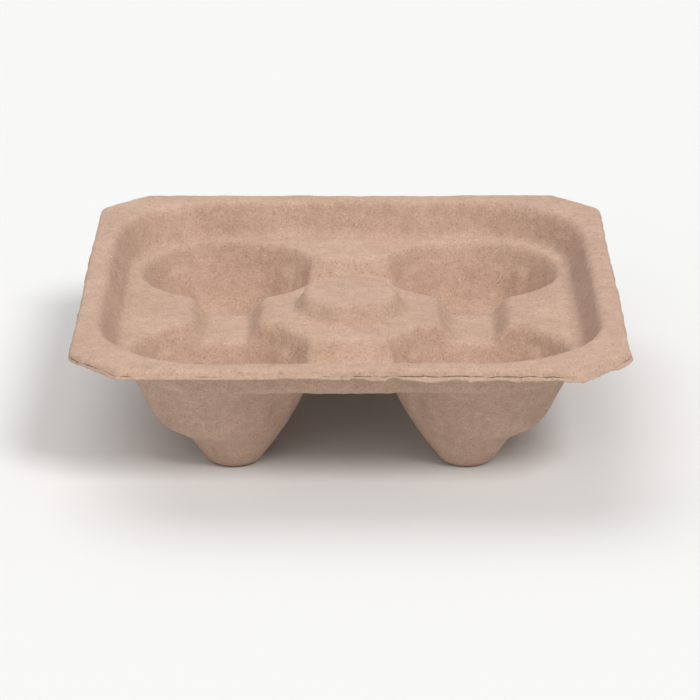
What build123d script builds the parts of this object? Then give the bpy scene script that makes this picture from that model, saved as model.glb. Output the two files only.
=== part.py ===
"""Moulded-fibre cup carrier for four cups.

One sheet of paper pulp, drawn onto a wire former and dried: a square tray with
cut corners, a flat flange with a short turned-down lip, a shallow square recess,
four tapered wells that end in hollow feet, low saddles between the wells and a
hollow boss in the middle.  Every wall has draft.

Millimetres.  +Z up, +Y to the back.  The origin is on the surface that the
carrier stands on, under the middle of the tray.
"""

import os
from math import atan, degrees, radians, sqrt, tan

from build123d import *

# ---------------------------------------------------------------- dimensions
WIDTH = 216.0  # across the lip, both ways (8.5 in)
HEIGHT = 58.5  # feet to flange
WALL = 1.5  # pulp thickness

CORNER_CUT = 19.5  # leg of the 45 degree corner cut
CORNER_ROUND = 6.0  # rounding at both ends of the corner cut
LIP_DROP = 4.0  # lip's lower edge below the flange face
LIP_FLARE = 13.0  # degrees that the lip leans out
LIP_ROUND = 2.0  # bend from flange to lip, on the face side
LIP_EASE = 0.5  # easing of the lip's lower edge

RECESS_MOUTH = 98.6  # half width of the recess at the flange
RECESS_SLOPE = 0.44  # draft of the recess wall, run over rise
RECESS_FLOOR = 44.0  # height of the recess floor and of the ridges
RECESS_CORNER = 41.0  # corner radius of the recess at its floor

WELL_XY = 50.1  # wells' axes, from the middle, both ways
WELL_MOUTH = 37.6  # well radius at the recess floor
WELL_SLOPE = 0.46  # draft of the well wall, run over rise
WELL_LOW = 19.5  # height where the wall turns in to the shoulder

FOOT_X = 46.2  # feet's axes, from the middle, sideways
FOOT_Y = 53.9  # feet's axes, from the middle, front to back
FOOT_SLOPE = 0.64  # draft of the foot, run over rise
FOOT_BASE = 10.1  # foot radius at the standing surface, before rounding
FOOT_TOP = 14.0  # height where the shoulder turns down to the foot
FOOT_ROUND = 7.0  # rounding round the foot's sole, on the outside
SHOULDER_ROUND = 10.0  # rounding of both bends of the shoulder, mid wall
SHOULDER_SINK = 0.68  # how far the bends sink for each unit of wall

SADDLE_FLOOR = 35.5  # height of the notch in each ridge
SADDLE_HALF = 8.0  # half width of the notch floor
SADDLE_SLOPE = 0.80  # draft of the notch sides, run over rise
SADDLE_ROUND = 5.0  # rounding along the notch, face side

BOSS_BASE = 23.0  # boss radius at the recess floor
BOSS_SLOPE = 0.62  # draft of the boss, run over rise
BOSS_TOP = 52.0  # height of the boss face

PAD_RADIUS = 10.0  # grip pads on the well walls
PAD_PROUD = 1.3  # how far a pad stands into the well
PAD_LOW = 25.0  # height where a pad begins to round off below
PAD_HIGH = 32.0  # height where a pad begins to round off above
PAD_ANGLES = (45, 135, 225, 315)

ROUND_MOUTH = 4.0  # bend from flange to recess wall, face side
ROUND_FLOOR = 2.5  # bend from recess wall to its floor, face side
ROUND_WELL = 3.5  # bend from the recess floor into a well, face side
ROUND_EDGE = 3.0  # bends of the boss, face side
ABOVE = 12.0  # how far the cutting forms reach above the flange


def moved(slope, depth):
    """Sideways shift of a drafted wall that is moved `depth` along its normal."""
    return depth * sqrt(1.0 + slope * slope)


def quarter(xy):
    """The four places at +-xy, +-xy."""
    return GridLocations(2 * xy, 2 * xy, 2, 2)


def four_wells(depth):
    """The wells and their feet as solids, grown by `depth` all round.

    The foot stands off the well's axis, nearer to the tray's middle line and to its
    front or back.  So the wall runs almost straight down into the foot on those two
    sides, and the shoulder between them is wide on the other two.
    """
    mouth_z = RECESS_FLOOR - depth
    mouth_r = WELL_MOUTH - WELL_SLOPE * depth + moved(WELL_SLOPE, depth)
    low_z = WELL_LOW - SHOULDER_SINK * depth
    low_r = mouth_r - WELL_SLOPE * (mouth_z - low_z)
    sole_z = WALL - depth
    # the foot is measured on its outside, where depth is the wall
    sole_r = FOOT_BASE + FOOT_SLOPE * sole_z - moved(FOOT_SLOPE, WALL - depth)
    foot_z = FOOT_TOP - SHOULDER_SINK * depth
    foot_r = sole_r + FOOT_SLOPE * (foot_z - sole_z)

    low = (Align.CENTER, Align.CENTER, Align.MIN)
    with BuildPart() as well:
        with Locations((WELL_XY, WELL_XY, low_z)):
            Cone(low_r, mouth_r, mouth_z - low_z, align=low)
        with BuildSketch(Plane.XY.offset(foot_z)):
            with Locations((FOOT_X, FOOT_Y)):
                Circle(foot_r)
        with BuildSketch(Plane.XY.offset(low_z)):
            with Locations((WELL_XY, WELL_XY)):
                Circle(low_r)
        loft(ruled=True)
        with Locations((FOOT_X, FOOT_Y, sole_z)):
            Cone(sole_r, foot_r, foot_z - sole_z, align=low)
        for height, radius in (
            (sole_z, FOOT_ROUND - WALL + depth),
            (low_z, SHOULDER_ROUND - WALL / 2 + depth),
            (foot_z, SHOULDER_ROUND + WALL / 2 - depth),
        ):
            fillet(
                well.edges().filter_by(
                    lambda e: abs(e.bounding_box().min.Z - height) < 0.01
                    and abs(e.bounding_box().max.Z - height) < 0.01
                ),
                radius,
            )
        mirror(about=Plane.YZ)
        mirror(about=Plane.XZ)
    return well.part


def hollow(depth, top):
    """The hollow of the tray as a solid, grown by `depth` all round.

    Grown by nothing it is the space above the pulp's upper face.  Grown by the
    wall it reaches to the pulp's lower face.
    """
    recess_z = RECESS_FLOOR - depth
    recess_half = (
        RECESS_MOUTH
        - RECESS_SLOPE * (HEIGHT - recess_z)
        + moved(RECESS_SLOPE, depth)
    )
    boss_z = BOSS_TOP - depth
    boss_low = BOSS_BASE + BOSS_SLOPE * depth - moved(BOSS_SLOPE, depth)
    boss_high = boss_low - BOSS_SLOPE * (boss_z - recess_z)
    saddle_z = SADDLE_FLOOR - depth
    saddle_low = SADDLE_HALF - SADDLE_SLOPE * depth + moved(SADDLE_SLOPE, depth)
    saddle_high = saddle_low + SADDLE_SLOPE * (recess_z - saddle_z)

    mouth_r = WELL_MOUTH - WELL_SLOPE * depth + moved(WELL_SLOPE, depth)

    low = (Align.CENTER, Align.CENTER, Align.MIN)
    wells = four_wells(depth)
    with BuildPart() as form:
        # shallow square recess
        with BuildSketch(Plane.XY.offset(recess_z)):
            RectangleRounded(2 * recess_half, 2 * recess_half, RECESS_CORNER)
        extrude(amount=top - recess_z, taper=-degrees(atan(RECESS_SLOPE)))
        floor_rim = form.faces().sort_by(Axis.Z)[0].edges()
        fillet(floor_rim, ROUND_FLOOR + depth)

        # boss that rises from its floor
        with Locations((0, 0, recess_z)):
            Cone(
                boss_low, boss_high, boss_z - recess_z, align=low, mode=Mode.SUBTRACT
            )
        boss_edges = form.edges().filter_by(GeomType.CIRCLE)
        boss_edges = boss_edges.filter_by(
            lambda e: abs(e.arc_center.X) < 0.01 and abs(e.arc_center.Y) < 0.01
        ).sort_by(Axis.Z)
        fillet(boss_edges[0], ROUND_EDGE + 1.5 - depth)
        fillet(
            form.edges()
            .filter_by(GeomType.CIRCLE)
            .filter_by(
                lambda e: abs(e.arc_center.X) < 0.01
                and abs(e.arc_center.Y) < 0.01
                and abs(e.center(CenterOf.BOUNDING_BOX).Z - boss_z) < 0.01
            ),
            max(ROUND_EDGE + 1.0 - depth, 1.0),
        )

        # wells
        add(wells)
        rims = (
            form.edges()
            .filter_by(GeomType.CIRCLE)
            .filter_by(
                lambda e: abs(e.arc_center.Z - recess_z) < 0.01
                and abs(e.radius - mouth_r) < 0.01
            )
        )
        fillet(rims, ROUND_WELL - depth)

        # notches through the ridges, rounded along their length
        for across in ((0, 1, 0), (-1, 0, 0)):
            along = Vector(across[1], -across[0], 0)
            with BuildSketch(Plane(along * -WELL_XY, across, along)) as notch:
                for side in (-WELL_XY, WELL_XY):
                    with BuildLine():
                        Polyline(
                            (side - saddle_high - 3, recess_z + 4),
                            (side - saddle_high - 3, recess_z),
                            (side - saddle_high, recess_z),
                            (side - saddle_low, saddle_z),
                            (side + saddle_low, saddle_z),
                            (side + saddle_high, recess_z),
                            (side + saddle_high + 3, recess_z),
                            (side + saddle_high + 3, recess_z + 4),
                            close=True,
                        )
                    make_face()
                fillet(
                    notch.vertices().filter_by(lambda v: abs(v.Y - saddle_z) < 0.01),
                    SADDLE_ROUND - 2.0 + depth,
                )
                fillet(
                    notch.vertices().filter_by(
                        lambda v: abs(v.Y - recess_z) < 0.01
                        and abs(abs(abs(v.X) - WELL_XY) - saddle_high) < 0.01
                    ),
                    SADDLE_ROUND - depth,
                )
            extrude(amount=2 * WELL_XY)

        # grip pads on the walls of the wells
        back = moved(WELL_SLOPE, PAD_RADIUS - PAD_PROUD)
        pad_planes = []
        for place in quarter(WELL_XY):
            for angle in PAD_ANGLES:
                out = Vector(1, 0, 0).rotate(Axis.Z, angle)
                wall = WELL_MOUTH - WELL_SLOPE * (RECESS_FLOOR - PAD_LOW) + back
                pad_planes.append(
                    Plane(
                        place.position + out * wall + Vector(0, 0, PAD_LOW),
                        z_dir=out * WELL_SLOPE + Vector(0, 0, 1),
                    )
                )
        pad_long = (PAD_HIGH - PAD_LOW) * sqrt(1 + WELL_SLOPE * WELL_SLOPE)
        with Locations(*pad_planes):
            Cylinder(PAD_RADIUS - depth, pad_long, align=low, mode=Mode.SUBTRACT)
            Sphere(PAD_RADIUS - depth, mode=Mode.SUBTRACT)
        with Locations(*[plane.offset(pad_long) for plane in pad_planes]):
            Sphere(PAD_RADIUS - depth, mode=Mode.SUBTRACT)
    return form.part


def cap(depth):
    """The flange and its lip as a solid block, shrunk by `depth` all round."""
    lean = LIP_FLARE
    slope = tan(radians(lean))
    half = WIDTH / 2 - moved(slope, depth)
    cut = CORNER_CUT + depth * (sqrt(2) - 2)
    with BuildPart() as block:
        with BuildSketch(Plane.XY.offset(HEIGHT - LIP_DROP)) as outline:
            Rectangle(2 * half, 2 * half)
            chamfer(outline.vertices(), cut)
            fillet(outline.vertices(), CORNER_ROUND - depth)
        extrude(amount=LIP_DROP - depth, taper=lean)
        fillet(block.faces().sort_by(Axis.Z)[-1].edges(), LIP_ROUND - depth)
    return block.part


block, block_inside = cap(0.0), cap(WALL)
lower, upper = hollow(WALL, HEIGHT), hollow(0.0, HEIGHT + ABOVE)

with BuildPart() as carrier:
    # flange and lip, the walls below them, then the hollow
    add(block)
    add(block_inside, mode=Mode.SUBTRACT)
    add(lower)
    add(upper, mode=Mode.SUBTRACT)

    # bend from the flange down into the recess, on both faces
    flange = carrier.faces().filter_by(Axis.Z).sort_by(Axis.Z)[-1]
    fillet(flange.inner_wires().edges(), ROUND_MOUTH)
    under = carrier.faces().filter_by(
        lambda f: f.geom_type == GeomType.PLANE
        and abs(f.center().Z - (HEIGHT - WALL)) < 0.01
    )
    fillet(under[0].inner_wires().edges(), ROUND_MOUTH - WALL)
    # torn lower edge of the lip, eased
    hem = carrier.faces().filter_by(
        lambda f: f.geom_type == GeomType.PLANE
        and abs(f.center().Z - (HEIGHT - LIP_DROP)) < 0.01
    )
    fillet(hem.edges(), LIP_EASE)

carrier.part.label = "cup_carrier"
os.makedirs("parts", exist_ok=True)
export_step(carrier.part, "parts/cup_carrier.step")
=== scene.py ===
import math

import bpy
import numpy as np
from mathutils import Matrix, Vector


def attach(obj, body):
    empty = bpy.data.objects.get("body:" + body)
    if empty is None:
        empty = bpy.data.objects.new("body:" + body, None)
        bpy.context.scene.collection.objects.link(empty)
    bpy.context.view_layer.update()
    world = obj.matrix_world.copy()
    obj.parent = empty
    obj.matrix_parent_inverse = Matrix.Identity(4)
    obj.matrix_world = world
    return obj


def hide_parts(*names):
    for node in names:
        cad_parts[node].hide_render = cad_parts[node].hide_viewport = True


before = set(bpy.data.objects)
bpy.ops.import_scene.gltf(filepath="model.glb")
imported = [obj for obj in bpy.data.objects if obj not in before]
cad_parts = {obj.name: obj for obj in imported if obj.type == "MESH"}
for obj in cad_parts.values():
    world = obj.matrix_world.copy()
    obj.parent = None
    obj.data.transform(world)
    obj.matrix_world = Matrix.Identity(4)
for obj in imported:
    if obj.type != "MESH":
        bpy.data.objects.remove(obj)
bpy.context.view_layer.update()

# ------------------------------------------------------------------ dimensions
# Millimetres, the same as the solid model's.  The mesh is scaled to metres once,
# when it is handed to Blender.
HALF = 108.0
HEIGHT = 58.5
WALL = 1.5
CORNER_CUT = 19.5
CORNER_ROUND = 6.0
LIP_DROP = 4.0
LIP_FLARE = math.radians(13.0)
LIP_ROUND = 2.0
RECESS_MOUTH = 98.6
RECESS_SLOPE = 0.44
RECESS_FLOOR = 44.0
RECESS_CORNER = 41.0
WELL_XY = 50.1
WELL_MOUTH = 37.6
WELL_SLOPE = 0.46
WELL_LOW = 19.5
FOOT_X = 46.2
FOOT_Y = 53.9
FOOT_SLOPE = 0.64
FOOT_BASE = 10.1
FOOT_TOP = 14.0
FOOT_ROUND = 7.0
SADDLE_FLOOR = 35.5
SADDLE_HALF = 8.0
SADDLE_SLOPE = 0.80
BOSS_BASE = 23.0
BOSS_SLOPE = 0.62
BOSS_TOP = 52.0
PAD_HALF = 5.3  # half width of a grip pad
PAD_PROUD = 1.3
PAD_LOW = 20.5
PAD_HIGH = 36.5

# mesh counts
GRID = 160  # vertices along one side of the sheet's grid, on each face
AROUND = 8 * (GRID - 1)  # vertices around the lip
EDGE_IN = 4.4  # how far inside the lip's lower edge the grid ends


# ----------------------------------------------------------------------- noise
def _table(seed):
    rng = np.random.RandomState(seed)
    perm = rng.permutation(256)
    grads = rng.normal(size=(256, 3))
    grads /= np.linalg.norm(grads, axis=1)[:, None]
    return np.concatenate([perm, perm, perm]), grads


_TABLES = {}


def noise(p, seed):
    """Gradient noise at the points p, about -1 to 1, with a feature size of 1."""
    if seed not in _TABLES:
        _TABLES[seed] = _table(seed)
    perm, grads = _TABLES[seed]
    base = np.floor(p).astype(np.int64)
    f = p - base
    w = f * f * f * (f * (f * 6 - 15) + 10)
    base &= 255
    total = np.zeros(len(p))
    for dx in (0, 1):
        wx = w[:, 0] if dx else 1 - w[:, 0]
        hx = perm[(base[:, 0] + dx) & 255]
        for dy in (0, 1):
            wy = w[:, 1] if dy else 1 - w[:, 1]
            hy = perm[hx + ((base[:, 1] + dy) & 255)]
            for dz in (0, 1):
                wz = w[:, 2] if dz else 1 - w[:, 2]
                g = grads[perm[hy + ((base[:, 2] + dz) & 255)]]
                d = (f - np.array([dx, dy, dz])) * g
                total += wx * wy * wz * d.sum(1)
    return total * 1.6


def ramp(a, b, x):
    t = np.clip((x - a) / (b - a), 0.0, 1.0)
    return t * t * (3 - 2 * t)


# --------------------------------------------------------- the tray's upper face
def bent_line(points, radii):
    """A line of straight runs whose inner corners are rounded, as two arrays."""
    points = [np.array(p, float) for p in points]
    out = [points[0]]
    for i, r in enumerate(radii, 1):
        a = points[i - 1] - points[i]
        b = points[i + 1] - points[i]
        a /= np.linalg.norm(a)
        b /= np.linalg.norm(b)
        turn = math.pi - math.acos(np.clip(a @ b, -1, 1))
        t = r * math.tan(turn / 2)
        mid = a + b
        mid /= np.linalg.norm(mid)
        centre = points[i] + mid * r / math.cos(turn / 2)
        p0, p1 = points[i] + a * t - centre, points[i] + b * t - centre
        a0 = math.atan2(p0[1], p0[0])
        a1 = math.atan2(p1[1], p1[0])
        d = (a1 - a0 + math.pi) % (2 * math.pi) - math.pi
        for k in range(17):
            ang = a0 + d * k / 16
            out.append(centre + r * np.array([math.cos(ang), math.sin(ang)]))
    out.append(points[-1])
    out = np.array(out)
    return out[:, 0], out[:, 1]


FLOOR_HALF = RECESS_MOUTH - RECESS_SLOPE * (HEIGHT - RECESS_FLOOR)
RECESS_LINE = bent_line(
    [(-150, RECESS_FLOOR), (0, RECESS_FLOOR), (RECESS_MOUTH - FLOOR_HALF, HEIGHT), (60, HEIGHT)],
    [2.5, 4.0],
)
BOSS_LINE = bent_line(
    [
        (-1, BOSS_TOP),
        (BOSS_BASE - BOSS_SLOPE * (BOSS_TOP - RECESS_FLOOR), BOSS_TOP),
        (BOSS_BASE, RECESS_FLOOR),
        (200, RECESS_FLOOR),
    ],
    [4.0, 4.5],
)
SADDLE_LINE = bent_line(
    [
        (-1, SADDLE_FLOOR),
        (SADDLE_HALF, SADDLE_FLOOR),
        (SADDLE_HALF + SADDLE_SLOPE * (RECESS_FLOOR - SADDLE_FLOOR), RECESS_FLOOR),
        (200, RECESS_FLOOR),
    ],
    [3.5, 5.0],
)
SOLE_IN = FOOT_BASE + FOOT_SLOPE * WALL - WALL * math.sqrt(1 + FOOT_SLOPE**2)
FOOT_LINE = bent_line(
    [(-1, WALL), (SOLE_IN, WALL), (SOLE_IN + FOOT_SLOPE * 90, WALL + 90)],
    [FOOT_ROUND - WALL],
)


def smin(a, b, k):
    h = np.clip(0.5 + 0.5 * (b - a) / k, 0.0, 1.0)
    return b * (1 - h) + a * h - k * h * (1 - h)


def smax(a, b, k):
    return -smin(-a, -b, k)


def face(x, y):
    """Height of the pulp's upper face."""
    x, y = np.abs(x), np.abs(y)
    # recess between the flange and the ridges
    qx, qy = x - (FLOOR_HALF - RECESS_CORNER), y - (FLOOR_HALF - RECESS_CORNER)
    sd = (
        np.hypot(np.maximum(qx, 0), np.maximum(qy, 0))
        + np.minimum(np.maximum(qx, qy), 0)
        - RECESS_CORNER
    )
    z = np.interp(sd, *RECESS_LINE)
    # boss in the middle and the notches in the ridges
    z = z + np.interp(np.hypot(x, y), *BOSS_LINE) - RECESS_FLOOR
    z = z + np.where(x < WELL_XY, np.interp(np.abs(y - WELL_XY), *SADDLE_LINE) - RECESS_FLOOR, 0)
    z = z + np.where(y < WELL_XY, np.interp(np.abs(x - WELL_XY), *SADDLE_LINE) - RECESS_FLOOR, 0)
    # the well: wall with its grip pads, shoulder and foot
    wx, wy = x - WELL_XY, y - WELL_XY
    r = np.hypot(wx, wy)
    high = RECESS_FLOOR + (r - WELL_MOUTH) / WELL_SLOPE
    pad = np.zeros_like(r)
    for sx in (-1, 1):
        for sy in (-1, 1):
            side = (wy * sx - wx * sy) * math.sqrt(0.5)
            ahead = (wx * sx + wy * sy) > 0
            u = np.clip(1 - (side / PAD_HALF) ** 2, 0, None)
            pad = pad + np.where(ahead, u**1.1, 0)
    pad = pad * ramp(PAD_LOW, PAD_LOW + 5.0, high) * (1 - ramp(PAD_HIGH - 5.0, PAD_HIGH, high))
    wall = high + PAD_PROUD * math.sqrt(1 + WELL_SLOPE**2) * pad / WELL_SLOPE
    ax, ay = x - FOOT_X, y - FOOT_Y
    rf = SOLE_IN + FOOT_SLOPE * (FOOT_TOP - WALL)
    rw = WELL_MOUTH - WELL_SLOPE * (RECESS_FLOOR - WELL_LOW)
    ex, ey, g = WELL_XY - FOOT_X, WELL_XY - FOOT_Y, rw - rf
    qa = ex * ex + ey * ey - g * g
    qb = -2 * (ex * ax + ey * ay + rf * g)
    qc = ax * ax + ay * ay - rf * rf
    t = 2 * qc / (-qb + np.sqrt(np.maximum(qb * qb - 4 * qa * qc, 0.0)))
    shoulder = FOOT_TOP + (WELL_LOW - FOOT_TOP) * t
    foot = np.interp(np.hypot(ax, ay), *FOOT_LINE)
    well = smax(wall, smin(shoulder, foot, 2.8), 3.7)
    return smin(z, well, 3.6)


def face_normal(x, y):
    h = 0.12
    gx = (face(x + h, y) - face(x - h, y)) / (2 * h)
    gy = (face(x, y + h) - face(x, y - h)) / (2 * h)
    n = np.stack([-gx, -gy, np.ones_like(gx)], 1)
    return n / np.linalg.norm(n, axis=1)[:, None]


# ------------------------------------------------------------------- the outline
def outline(count):
    """Points and outward normals evenly round the lip's lower edge, from the middle
    of the front left corner cut, anticlockwise seen from above."""
    c = HALF - CORNER_CUT
    corners = [(-c, -HALF), (c, -HALF), (HALF, -c), (HALF, c), (c, HALF), (-c, HALF), (-HALF, c), (-HALF, -c)]
    corners = [np.array(v) for v in corners]
    t = CORNER_ROUND * math.tan(math.pi / 8)
    pts, ang = [], []
    start = (corners[7] + corners[0]) / 2
    pts.append(start)
    ang.append(-3 * math.pi / 4)
    for i, v in enumerate(corners):
        d_in = v - corners[i - 1]
        d_in /= np.linalg.norm(d_in)
        n_in = np.array([d_in[1], -d_in[0]])
        centre = v - d_in * t - n_in * CORNER_ROUND
        a0 = -3 * math.pi / 4 + i * math.pi / 4
        for k in range(13):
            a = a0 + math.pi / 4 * k / 12
            pts.append(centre + CORNER_ROUND * np.array([math.cos(a), math.sin(a)]))
            ang.append(a)
    pts.append(start)
    ang.append(-3 * math.pi / 4 + 2 * math.pi)
    pts, ang = np.array(pts), np.array(ang)
    s = np.concatenate([[0], np.cumsum(np.linalg.norm(np.diff(pts, axis=0), axis=1))])
    want = np.arange(count) * s[-1] / count
    p = np.stack([np.interp(want, s, pts[:, 0]), np.interp(want, s, pts[:, 1])], 1)
    a = np.interp(want, s, ang)
    return p, np.stack([np.cos(a), np.sin(a)], 1), want, s[-1]


# --------------------------------------------------- the sheet: a grid, evened out
def even_grid(n):
    """A grid of n x n points over the tray, spread evenly along the face."""

    def edge(m):
        p, nrm, _, _ = outline(4 * (m - 1))
        return p - nrm * EDGE_IN

    def frame_of(m):
        e = edge(m)
        k = m - 1
        return e[0 : k + 1], e[k : 2 * k + 1], e[2 * k : 3 * k + 1][::-1], np.vstack([e[3 * k :], e[:1]])[::-1]

    def settle(g, rounds):
        m = g.shape[0]
        front, right, back, left = frame_of(m)
        g[:, 0], g[:, -1], g[0, :], g[-1, :] = front, back, left, right
        for _ in range(rounds):
            z = face(g[..., 0].ravel(), g[..., 1].ravel()).reshape(m, m)
            dx = np.diff(g, axis=0)
            dy = np.diff(g, axis=1)
            lx = np.linalg.norm(dx, axis=2) + 1e-9
            ly = np.linalg.norm(dy, axis=2) + 1e-9
            wx = np.sqrt(1 + (np.diff(z, axis=0) / lx) ** 2)
            wy = np.sqrt(1 + (np.diff(z, axis=1) / ly) ** 2)
            a, b = wx[:-1, 1:-1, None], wx[1:, 1:-1, None]
            c, d = wy[1:-1, :-1, None], wy[1:-1, 1:, None]
            mean = (
                a * g[:-2, 1:-1] + b * g[2:, 1:-1] + c * g[1:-1, :-2] + d * g[1:-1, 2:]
            ) / (a + b + c + d)
            g[1:-1, 1:-1] += 0.7 * (mean - g[1:-1, 1:-1])
        return g

    sizes = [(n - 1) // 4 + 1, (n - 1) // 2 + 1, n]
    g = None
    for m, rounds in zip(sizes, (260, 200, 160)):
        u = np.linspace(0, 1, m)
        if g is None:
            front, right, back, left = frame_of(m)
            U, V = u[:, None, None], u[None, :, None]
            g = (
                (1 - V) * front[:, None] + V * back[:, None]
                + (1 - U) * left[None] + U * right[None]
                - (1 - U) * (1 - V) * front[0] - U * (1 - V) * front[-1]
                - (1 - U) * V * back[0] - U * V * back[-1]
            )
        else:
            old = np.linspace(0, 1, g.shape[0])
            h = np.stack([np.stack([np.interp(u, old, g[:, j, k]) for j in range(g.shape[1])], 1) for k in (0, 1)], 2)
            g = np.stack([np.stack([np.interp(u, old, h[i, :, k]) for i in range(m)], 0) for k in (0, 1)], 2)
        g = settle(g, rounds)
    return g


# -------------------------------------------------------------- pulp's unevenness
def warp(p):
    """Slow bowing of the whole dried tray, with the soles left where they stand."""
    free = ramp(8.0, 45.0, p[:, 2])
    edge = np.maximum(np.abs(p[:, 0]), np.abs(p[:, 1])) / HALF
    out = np.zeros_like(p)
    q = p * np.array([1, 1, 0.5])
    out[:, 2] = free * (0.55 * noise(q / 95.0, 11) + 0.28 * noise(q / 42.0, 12)) - 0.35 * free * edge**6
    out[:, 0] = free * 0.30 * noise(q / 70.0, 13)
    out[:, 1] = free * 0.30 * noise(q / 70.0, 14)
    return out


def lumps(p, seed):
    """Dried pulp's own relief, in millimetres along the normal."""
    return (
        0.24 * noise(p / 17.0, seed)
        + 0.17 * noise(p / 7.0, seed + 1)
        + 0.12 * noise(p / 3.4, seed + 2)
    )


# ---------------------------------------------------------------- build the mesh
def build_mesh():
    n = GRID
    g = even_grid(n)
    x, y = g[..., 0].ravel(), g[..., 1].ravel()
    z = face(x, y)
    normal = face_normal(x, y)
    top = np.stack([x, y, z], 1)
    thick = WALL * (1.0 + 0.10 * noise(top / 21.0, 31) + 0.05 * noise(top / 8.0, 32))
    low = top - normal * thick[:, None]

    shift = warp(top)
    still = ramp(0.2, 5.0, low[:, 2])
    top_out = top + shift + normal * (lumps(top, 41) * ramp(0.5, 4.0, top[:, 2] - WALL + 2.0))[:, None]
    low_out = low + shift - normal * ((lumps(low, 51) + 0.05 * noise(low / 1.9, 54)) * still)[:, None]
    low_out[:, 2] = np.maximum(low_out[:, 2], 0.0)

    # ---- the lip, round and round: rows of (distance in from the edge, height)
    p, nrm, s, length = outline(AROUND)
    m = AROUND
    p3 = np.column_stack([p, np.zeros(m)])
    tan_f = math.tan(LIP_FLARE)
    at = LIP_DROP * tan_f
    cen_o = at + LIP_ROUND * math.tan((math.pi / 2 - LIP_FLARE) / 2)
    cen_z = HEIGHT - LIP_ROUND
    turn = math.pi / 2 - LIP_FLARE

    # torn lower edge: the lip is shallow on the left of the front and deeper towards its
    # right; some stretches are cut clean, others are torn in waves, bites and tufts
    slow = np.interp(p[:, 0], [-108, -86, -20, 10, 50, 88, 108], [-0.1, 0.35, 0.25, -0.25, -0.6, -1.3, -0.9])
    slow = slow * ramp(60.0, 100.0, -p[:, 1]) + 0.55 * noise(p3 / 52.0, 61)
    clean = np.where(p[:, 1] < -100, np.interp(p[:, 0], [-90, -75, -16, -8], [0.0, 0.45, 0.45, -0.25]), 0.0)
    torn = 0.16 + 0.84 * ramp(-0.22, 0.28, noise(p3 / 31.0, 72) + 0.12 - clean)
    hem = 0.50 * noise(p3 / 12.0, 62) + 0.38 * noise(p3 / 4.6, 63) + 0.26 * noise(p3 / 1.9, 64)
    bite = np.clip(noise(p3 / 6.5 + 9.1, 65) - 0.30, 0, None) * 2.2
    tuft = np.clip(noise(p3 / 3.3 + 4.7, 66) - 0.34, 0, None) * 1.7
    hem = np.clip(slow + torn * (hem + bite - tuft), -2.0, 1.7)
    thin = 1.0 + 0.22 * noise(p3 / 9.0, 67) + 0.14 * noise(p3 / 2.6, 68)
    lean = 0.55 * noise(p3 / 60.0, 69) + 0.22 * noise(p3 / 11.0, 70)

    # a crack that comes and goes along the lip; the pulp below it stands out as a flap
    split = ramp(-0.30, 0.05, noise(p3 / 23.0, 73) + 0.25 * (torn - 0.5)) * (0.30 + 0.70 * ramp(-0.30, 0.12, noise(p3 / 3.7, 74)))
    crack_at = np.clip(0.52 + 0.24 * noise(p3 / 12.0, 75) + 0.13 * noise(p3 / 4.1, 76) + 0.06 * noise(p3 / 1.7, 77), 0.26, 0.80)
    flap = split * np.clip(0.20 + 0.22 * noise(p3 / 6.0, 78), 0.0, 0.4)

    none = np.zeros(m)
    rows = []  # (o, z, how far down the lip 0..1, side: +1 outer, 0 edge, -1 inner, push out, crack)
    rows.append((np.full(m, EDGE_IN - 0.55), np.full(m, HEIGHT), 0.0, 1.0, none, none))
    for k in range(8):
        a = turn * k / 7
        rows.append((np.full(m, cen_o - LIP_ROUND * math.sin(a)), np.full(m, cen_z + LIP_ROUND * math.cos(a)), 0.05 + 0.45 * k / 7, 1.0, none, none))
    end_o, end_z = cen_o - LIP_ROUND * math.sin(turn), cen_z + LIP_ROUND * math.cos(turn)
    hem_z = HEIGHT - LIP_DROP + hem
    t_edge = WALL * thin * 0.92
    r_edge = 0.38 * t_edge
    long = np.maximum(end_z - hem_z - r_edge, 0.5)
    half = np.minimum(0.20 / long, 0.11)
    above = crack_at - half
    for v, push, crack in (
        (above * 0.42, none, none),
        (above * 0.80, -0.02 * split, none),
        (above, -0.05 * split, 0.30 * split),
        (crack_at, -0.62 * split, split),
        (crack_at + half, 0.8 * flap, 0.30 * split),
        (crack_at + half + (1 - crack_at - half) * 0.36, flap, none),
        (crack_at + half + (1 - crack_at - half) * 0.70, flap, none),
        (np.ones(m), flap, none),
    ):
        zz = end_z - long * v
        rows.append((end_o - (end_z - zz) * tan_f, zz, 0.5 + 0.4 * v, 1.0, push, crack))
    # round under the torn edge
    co = -(HEIGHT - LIP_DROP - (hem_z + r_edge)) * tan_f
    for k in range(1, 4):
        a = math.pi / 2 * k / 3
        rows.append((co + r_edge * (1 - math.cos(a)), hem_z + r_edge * (1 - math.sin(a)), 0.95, 0.5, flap * (1 - 0.15 * k), none))
    rows.append((co + t_edge * 0.5, hem_z + 0.10 * noise(p3 / 1.3, 71), 1.0, 0.0, none, none))
    for k in range(0, 3):
        a = math.pi / 2 * k / 2
        rows.append((co + t_edge - r_edge * (1 - math.sin(a)), hem_z + r_edge * (1 - math.cos(a)), 0.95, -0.5, none, none))
    # back up the inner side
    in_o, in_z = cen_o - (LIP_ROUND - WALL) * math.sin(turn), cen_z + (LIP_ROUND - WALL) * math.cos(turn)
    lo_o, lo_z = co + t_edge, hem_z + r_edge
    for k in range(1, 4):
        v = k / 3
        rows.append((lo_o + (in_o - lo_o) * v, lo_z + (in_z - lo_z) * v, 0.9 - 0.4 * v, -1.0, none, none))
    for k in range(1, 5):
        a = turn * (1 - k / 4)
        r = LIP_ROUND - WALL
        rows.append((np.full(m, cen_o - r * math.sin(a)), np.full(m, cen_z + r * math.cos(a)), 0.45 * (1 - k / 4), -1.0, none, none))
    rows.append((np.full(m, EDGE_IN - 0.55), np.full(m, HEIGHT - WALL), 0.0, -1.0, none, none))

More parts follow.
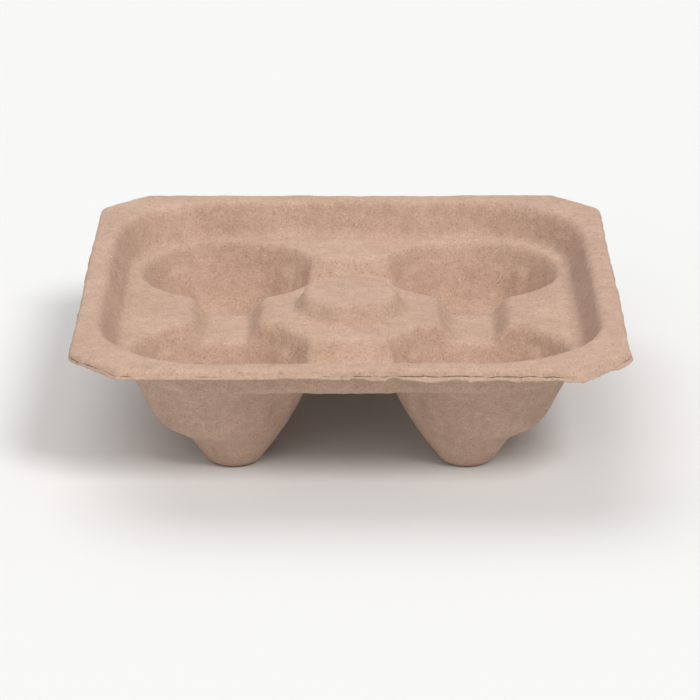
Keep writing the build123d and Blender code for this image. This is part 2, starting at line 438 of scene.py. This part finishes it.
    strip = np.array([np.column_stack([p - nrm * row[0][:, None], row[1]]) for row in rows])  # rows, around, 3
    # normals across the strip
    along = np.roll(strip, -1, axis=1) - np.roll(strip, 1, axis=1)
    across = np.gradient(strip, axis=0)
    sn = np.cross(along, across)
    sn /= np.linalg.norm(sn, axis=2)[..., None] + 1e-12
    outward = np.column_stack([nrm, none])
    if (sn[4] * outward).sum() < 0:
        sn = -sn
    crack_all = np.zeros(strip.shape[:2])
    out = np.empty_like(strip)
    for i, (o, zz, down, side, push, crack) in enumerate(rows):
        q3 = strip[i]
        down = np.zeros(m) + down
        stretched = np.column_stack([q3[:, 0] / 9.0, q3[:, 1] / 9.0, q3[:, 2] / 1.5])
        rough = lumps(q3, 41 if side > 0 else 51)
        coarse = 0.30 * noise(stretched, 81) + 0.15 * noise(q3 / 2.3, 82) + 0.08 * noise(q3 / 1.1, 83)
        coarse = coarse * (0.4 + 0.6 * torn)
        # short splits that run up from the torn edge
        nick = np.clip(1 - np.abs(noise(np.column_stack([q3[:, 0] / 5.2, q3[:, 1] / 5.2, q3[:, 2] / 14.0]), 89)) / 0.05, 0, 1)
        nick = 0.8 * nick * ramp(0.36, 0.50, noise(p3 / 15.0, 90)) * ramp(0.55, 0.75, down) * (1.0 if side > 0.4 else 0.0)
        crack_all[i] = np.maximum(crack, nick)
        d = rough + coarse * ramp(0.15, 0.75, down) + push - 0.45 * nick
        lean_d = lean * ramp(0.2, 1.0, down)
        out[i] = q3 + warp(q3) + sn[i] * d[:, None] + outward * lean_d[:, None]

    # ---- one closed surface
    count = n * n
    verts = np.vstack([top_out, low_out, out.reshape(-1, 3)])
    idx = np.arange(count).reshape(n, n)
    k = n - 1
    ring = np.concatenate([idx[:k, 0], idx[k, :k], idx[k:0:-1, k], idx[0, k:0:-1]])
    base = 2 * count
    nr = len(rows)
    quads = [
        np.stack([idx[:-1, :-1], idx[1:, :-1], idx[1:, 1:], idx[:-1, 1:]], 2).reshape(-1, 4),
        count + np.stack([idx[:-1, :-1], idx[:-1, 1:], idx[1:, 1:], idx[1:, :-1]], 2).reshape(-1, 4),
    ]
    j = np.arange(m)
    jn = (j + 1) % m
    for i in range(nr - 1):
        a, b = base + i * m, base + (i + 1) * m
        quads.append(np.stack([a + jn, a + j, b + j, b + jn], 1))
    tris = []
    c = np.arange(len(ring))
    cn = (c + 1) % len(ring)
    for ring_v, row, flip in ((ring, 0, False), (count + ring, nr - 1, True)):
        f0 = base + row * m + 2 * c
        f1 = base + row * m + (2 * c + 1) % m
        f2 = base + row * m + (2 * c + 2) % m
        a, b = ring_v[c], ring_v[cn]
        parts = [np.stack([a, f0, f1], 1), np.stack([a, f1, b], 1), np.stack([b, f1, f2], 1)]
        for t in parts:
            tris.append(t[:, ::-1] if flip else t)
    quads = np.vstack(quads)
    tris = np.vstack(tris)
    edge = np.concatenate([np.zeros(2 * count)] + [np.zeros(m) + r[2] for r in rows])
    crack = np.concatenate([np.zeros(2 * count), crack_all.ravel()])
    under = np.concatenate([np.zeros(count), np.ones(count), np.repeat([0.0 if r[3] > 0 else 1.0 for r in rows], m)])
    return verts / 1000.0, quads, tris, edge, crack, under


def make_object():
    verts, quads, tris, edge, crack, under = build_mesh()
    me = bpy.data.meshes.new("cup_carrier_pulp")
    loops = np.concatenate([quads.ravel(), tris.ravel()]).astype(np.int32)
    starts = np.concatenate([np.arange(len(quads)) * 4, len(quads) * 4 + np.arange(len(tris)) * 3]).astype(np.int32)
    me.vertices.add(len(verts))
    me.vertices.foreach_set("co", verts.astype(np.float32).ravel())
    me.loops.add(len(loops))
    me.loops.foreach_set("vertex_index", loops)
    me.polygons.add(len(starts))
    me.polygons.foreach_set("loop_start", starts)
    me.update(calc_edges=True)
    me.validate()
    me.polygons.foreach_set("use_smooth", np.ones(len(me.polygons), bool))
    for name, values in (("lip", edge), ("crack", crack), ("under", under)):
        attribute = me.attributes.new(name, "FLOAT", "POINT")
        attribute.data.foreach_set("value", values.astype(np.float32))
    ob = bpy.data.objects.new("cup_carrier_pulp", me)
    bpy.context.scene.collection.objects.link(ob)
    print("triangles", 2 * len(quads) + len(tris))
    return ob


# -------------------------------------------------------------------- materials
def lin(r, g, b):
    def one(c):
        c /= 255.0
        return c / 12.92 if c <= 0.04045 else ((c + 0.055) / 1.055) ** 2.4

    return (one(r), one(g), one(b), 1.0)


def pulp_material():
    m = bpy.data.materials.new("moulded_pulp")
    m.use_nodes = True
    nt = m.node_tree
    nt.nodes.clear()
    N = nt.nodes.new
    L = nt.links.new
    out = N("ShaderNodeOutputMaterial")
    bsdf = N("ShaderNodeBsdfPrincipled")
    L(bsdf.outputs["BSDF"], out.inputs["Surface"])
    bsdf.inputs["Specular IOR Level"].default_value = 0.22
    bsdf.inputs["Sheen Weight"].default_value = 0.06
    bsdf.inputs["Sheen Roughness"].default_value = 0.6
    coord = N("ShaderNodeTexCoord")

    def tex(scale, detail, rough=0.55, stretch=None, turn=None):
        node = N("ShaderNodeTexNoise")
        node.inputs["Scale"].default_value = scale
        node.inputs["Detail"].default_value = detail
        node.inputs["Roughness"].default_value = rough
        if stretch:
            mp = N("ShaderNodeMapping")
            mp.inputs["Scale"].default_value = stretch
            mp.inputs["Rotation"].default_value = turn or (0, 0, 0)
            L(coord.outputs["Object"], mp.inputs["Vector"])
            L(mp.outputs["Vector"], node.inputs["Vector"])
        else:
            L(coord.outputs["Object"], node.inputs["Vector"])
        return node.outputs["Fac"]

    def ramp_node(fac, stops, interpolation="LINEAR"):
        r = N("ShaderNodeValToRGB")
        r.color_ramp.interpolation = interpolation
        el = r.color_ramp.elements
        el[0].position, el[0].color = stops[0]
        el[1].position, el[1].color = stops[-1]
        for pos, col in stops[1:-1]:
            e = el.new(pos)
            e.color = col
        L(fac, r.inputs["Fac"])
        return r.outputs["Color"]

    def mix(kind, fac, a, b):
        x = N("ShaderNodeMix")
        x.data_type = "RGBA"
        x.blend_type = kind
        if isinstance(fac, float):
            x.inputs["Factor"].default_value = fac
        else:
            L(fac, x.inputs["Factor"])
        L(a, x.inputs["A"])
        if isinstance(b, tuple):
            x.inputs["B"].default_value = b
        else:
            L(b, x.inputs["B"])
        return x.outputs["Result"]

    def math_node(op, a, b):
        x = N("ShaderNodeMath")
        x.operation = op
        for i, v in enumerate((a, b)):
            if isinstance(v, (int, float)):
                x.inputs[i].default_value = v
            else:
                L(v, x.inputs[i])
        return x.outputs[0]

    # colour: slow clouds, pulp mottle, fine grain
    cloud = tex(38.0, 3.0)
    base = ramp_node(cloud, [(0.30, lin(184, 153, 133)), (0.52, lin(190, 159, 139)), (0.72, lin(196, 166, 146))])
    mottle = tex(240.0, 4.0, 0.62)
    base = mix("MULTIPLY", 1.0, base, ramp_node(mottle, [(0.28, (0.875, 0.868, 0.860, 1)), (0.50, (0.99, 0.99, 0.99, 1)), (0.74, (1.085, 1.085, 1.085, 1))]))
    grain = tex(1150.0, 3.0, 0.6)
    base = mix("MULTIPLY", 1.0, base, ramp_node(grain, [(0.30, (0.85, 0.842, 0.834, 1)), (0.52, (1.0, 1.0, 1.0, 1)), (0.76, (1.09, 1.09, 1.09, 1))]))
    # fibres and specks of the recycled stock, which lie every way
    patch = N("ShaderNodeTexVoronoi")
    patch.inputs["Scale"].default_value = 310.0
    L(coord.outputs["Object"], patch.inputs["Vector"])
    way = N("ShaderNodeVectorMath")
    way.operation = "SCALE"
    way.inputs["Scale"].default_value = 6.283
    L(patch.outputs["Color"], way.inputs[0])
    turned = N("ShaderNodeVectorRotate")
    turned.rotation_type = "EULER_XYZ"
    L(coord.outputs["Object"], turned.inputs["Vector"])
    L(way.outputs["Vector"], turned.inputs["Rotation"])
    for offset, seed_scale, colour, low, high in (
        ((3.1, 0.0, 0.0), 1.00, lin(120, 88, 68), 0.655, 0.70),
        ((0.0, 7.7, 0.0), 1.13, lin(224, 200, 182), 0.650, 0.70),
        ((0.0, 0.0, 5.3), 0.91, lin(112, 86, 72), 0.665, 0.71),
    ):
        place = N("ShaderNodeMapping")
        place.inputs["Location"].default_value = offset
        place.inputs["Scale"].default_value = (420.0 * seed_scale, 1500.0 * seed_scale, 1500.0 * seed_scale)
        L(turned.outputs["Vector"], place.inputs["Vector"])
        strand = N("ShaderNodeTexNoise")
        strand.inputs["Scale"].default_value = 1.0
        strand.inputs["Detail"].default_value = 1.0
        L(place.outputs["Vector"], strand.inputs["Vector"])
        fib = strand.outputs["Fac"]
        mask = N("ShaderNodeMapRange")
        mask.inputs["From Min"].default_value = low
        mask.inputs["From Max"].default_value = high
        mask.inputs["To Max"].default_value = 0.36
        L(fib, mask.inputs["Value"])
        base = mix("MIX", mask.outputs["Result"], base, colour)
    # torn edge: paler; the fissures are darkened with painted shade
    lip = N("ShaderNodeAttribute")
    lip.attribute_name = "lip"
    crack = N("ShaderNodeAttribute")
    crack.attribute_name = "crack"
    pale = N("ShaderNodeMapRange")
    pale.inputs["From Min"].default_value = 0.55
    pale.inputs["From Max"].default_value = 1.0
    pale.inputs["To Max"].default_value = 0.22
    L(lip.outputs["Fac"], pale.inputs["Value"])
    base = mix("MIX", pale.outputs["Result"], base, lin(206, 176, 154))
    # painted shade in the cracks, with frayed sides
    fray = tex(1700.0, 2.0, 0.6)
    crack_shade_mask = N("ShaderNodeMapRange")
    crack_shade_mask.interpolation_type = "SMOOTHSTEP"
    crack_shade_mask.inputs["From Min"].default_value = 0.34
    crack_shade_mask.inputs["From Max"].default_value = 0.80
    L(math_node("ADD", crack.outputs["Fac"], math_node("MULTIPLY", math_node("SUBTRACT", fray, 0.5), 0.9)), crack_shade_mask.inputs["Value"])
    crack_shade_mask = math_node("MULTIPLY", crack_shade_mask.outputs["Result"], math_node("GREATER_THAN", crack.outputs["Fac"], 0.02))
    # painted shade: where the crack mask is open, the colour is pulled towards dark brown lin(122, 90, 71) to stand
    # for shade inside the fissure; the same mask also sinks the bump
    crack_shade_and_dip = math_node("MULTIPLY", crack_shade_mask, 0.72)
    base = mix("MIX", crack_shade_and_dip, base, lin(122, 90, 71))
    L(base, bsdf.inputs["Base Color"])

    rough = N("ShaderNodeMapRange")
    rough.inputs["To Min"].default_value = 0.82
    rough.inputs["To Max"].default_value = 0.97
    L(mottle, rough.inputs["Value"])
    L(rough.outputs["Result"], bsdf.inputs["Roughness"])

    # relief too fine for the mesh
    height = math_node("ADD", math_node("MULTIPLY", tex(330.0, 4.0, 0.6), 0.55), math_node("MULTIPLY", tex(1300.0, 2.0, 0.6), 0.22))
    height = math_node("SUBTRACT", height, math_node("MULTIPLY", crack_shade_and_dip, 0.22))
    bump = N("ShaderNodeBump")
    bump.inputs["Strength"].default_value = 0.72
    bump.inputs["Distance"].default_value = 0.0011
    L(height, bump.inputs["Height"])
    L(bump.outputs["Normal"], bsdf.inputs["Normal"])
    return m


def floor_material():
    m = bpy.data.materials.new("studio_floor")
    m.use_nodes = True
    b = m.node_tree.nodes["Principled BSDF"]
    b.inputs["Base Color"].default_value = (0.78, 0.78, 0.775, 1)
    b.inputs["Roughness"].default_value = 0.9
    b.inputs["Specular IOR Level"].default_value = 0.1
    return m


# ------------------------------------------------------------------------ scene
carrier = make_object()
carrier.data.materials.append(pulp_material())
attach(carrier, "root")
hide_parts("cup_carrier")

me = bpy.data.meshes.new("studio_floor")
S = 4.0
me.from_pydata([(-S, -S, 0), (S, -S, 0), (S, S, 0), (-S, S, 0)], [], [(0, 1, 2, 3)])
floor = bpy.data.objects.new("studio_floor", me)
bpy.context.scene.collection.objects.link(floor)
floor.data.materials.append(floor_material())


def soft_light(name, azimuth, elevation, spread, strength):
    """A broad even light.  Azimuth 0 is from the front, 90 from the right."""
    d = bpy.data.lights.new(name, "SUN")
    d.angle = math.radians(spread)
    d.energy = strength
    o = bpy.data.objects.new(name, d)
    bpy.context.scene.collection.objects.link(o)
    az, el = math.radians(azimuth), math.radians(elevation)
    o.location = (math.sin(az) * math.cos(el), -math.cos(az) * math.cos(el), math.sin(el))
    o.rotation_euler = (-o.location).to_track_quat("-Z", "Y").to_euler()


soft_light("key", 34, 46, 20, 1.95)
soft_light("top", -150, 62, 50, 1.15)
soft_light("front", -20, 32, 40, 0.48)

world = bpy.data.worlds.new("studio")
bpy.context.scene.world = world
world.use_nodes = True
bg = world.node_tree.nodes["Background"]
bg.inputs["Color"].default_value = (1, 1, 1, 1)
bg.inputs["Strength"].default_value = 0.36

scene = bpy.context.scene
scene.view_settings.view_transform = "Standard"
scene.view_settings.look = "None"

cam = bpy.data.cameras.new("camera")
cam.sensor_width = 36.0
cam.lens = 172.0
cam_ob = bpy.data.objects.new("camera", cam)
scene.collection.objects.link(cam_ob)
ELEV = math.radians(20.5)
DIST = 1.37
target = Vector((0, 0, 0.026))
cam_ob.location = target + Vector((0, -math.cos(ELEV) * DIST, math.sin(ELEV) * DIST))
cam_ob.rotation_euler = (target - cam_ob.location).to_track_quat("-Z", "Y").to_euler()
cam.clip_end = 20.0
scene.camera = cam_ob

bpy.context.view_layer.update()
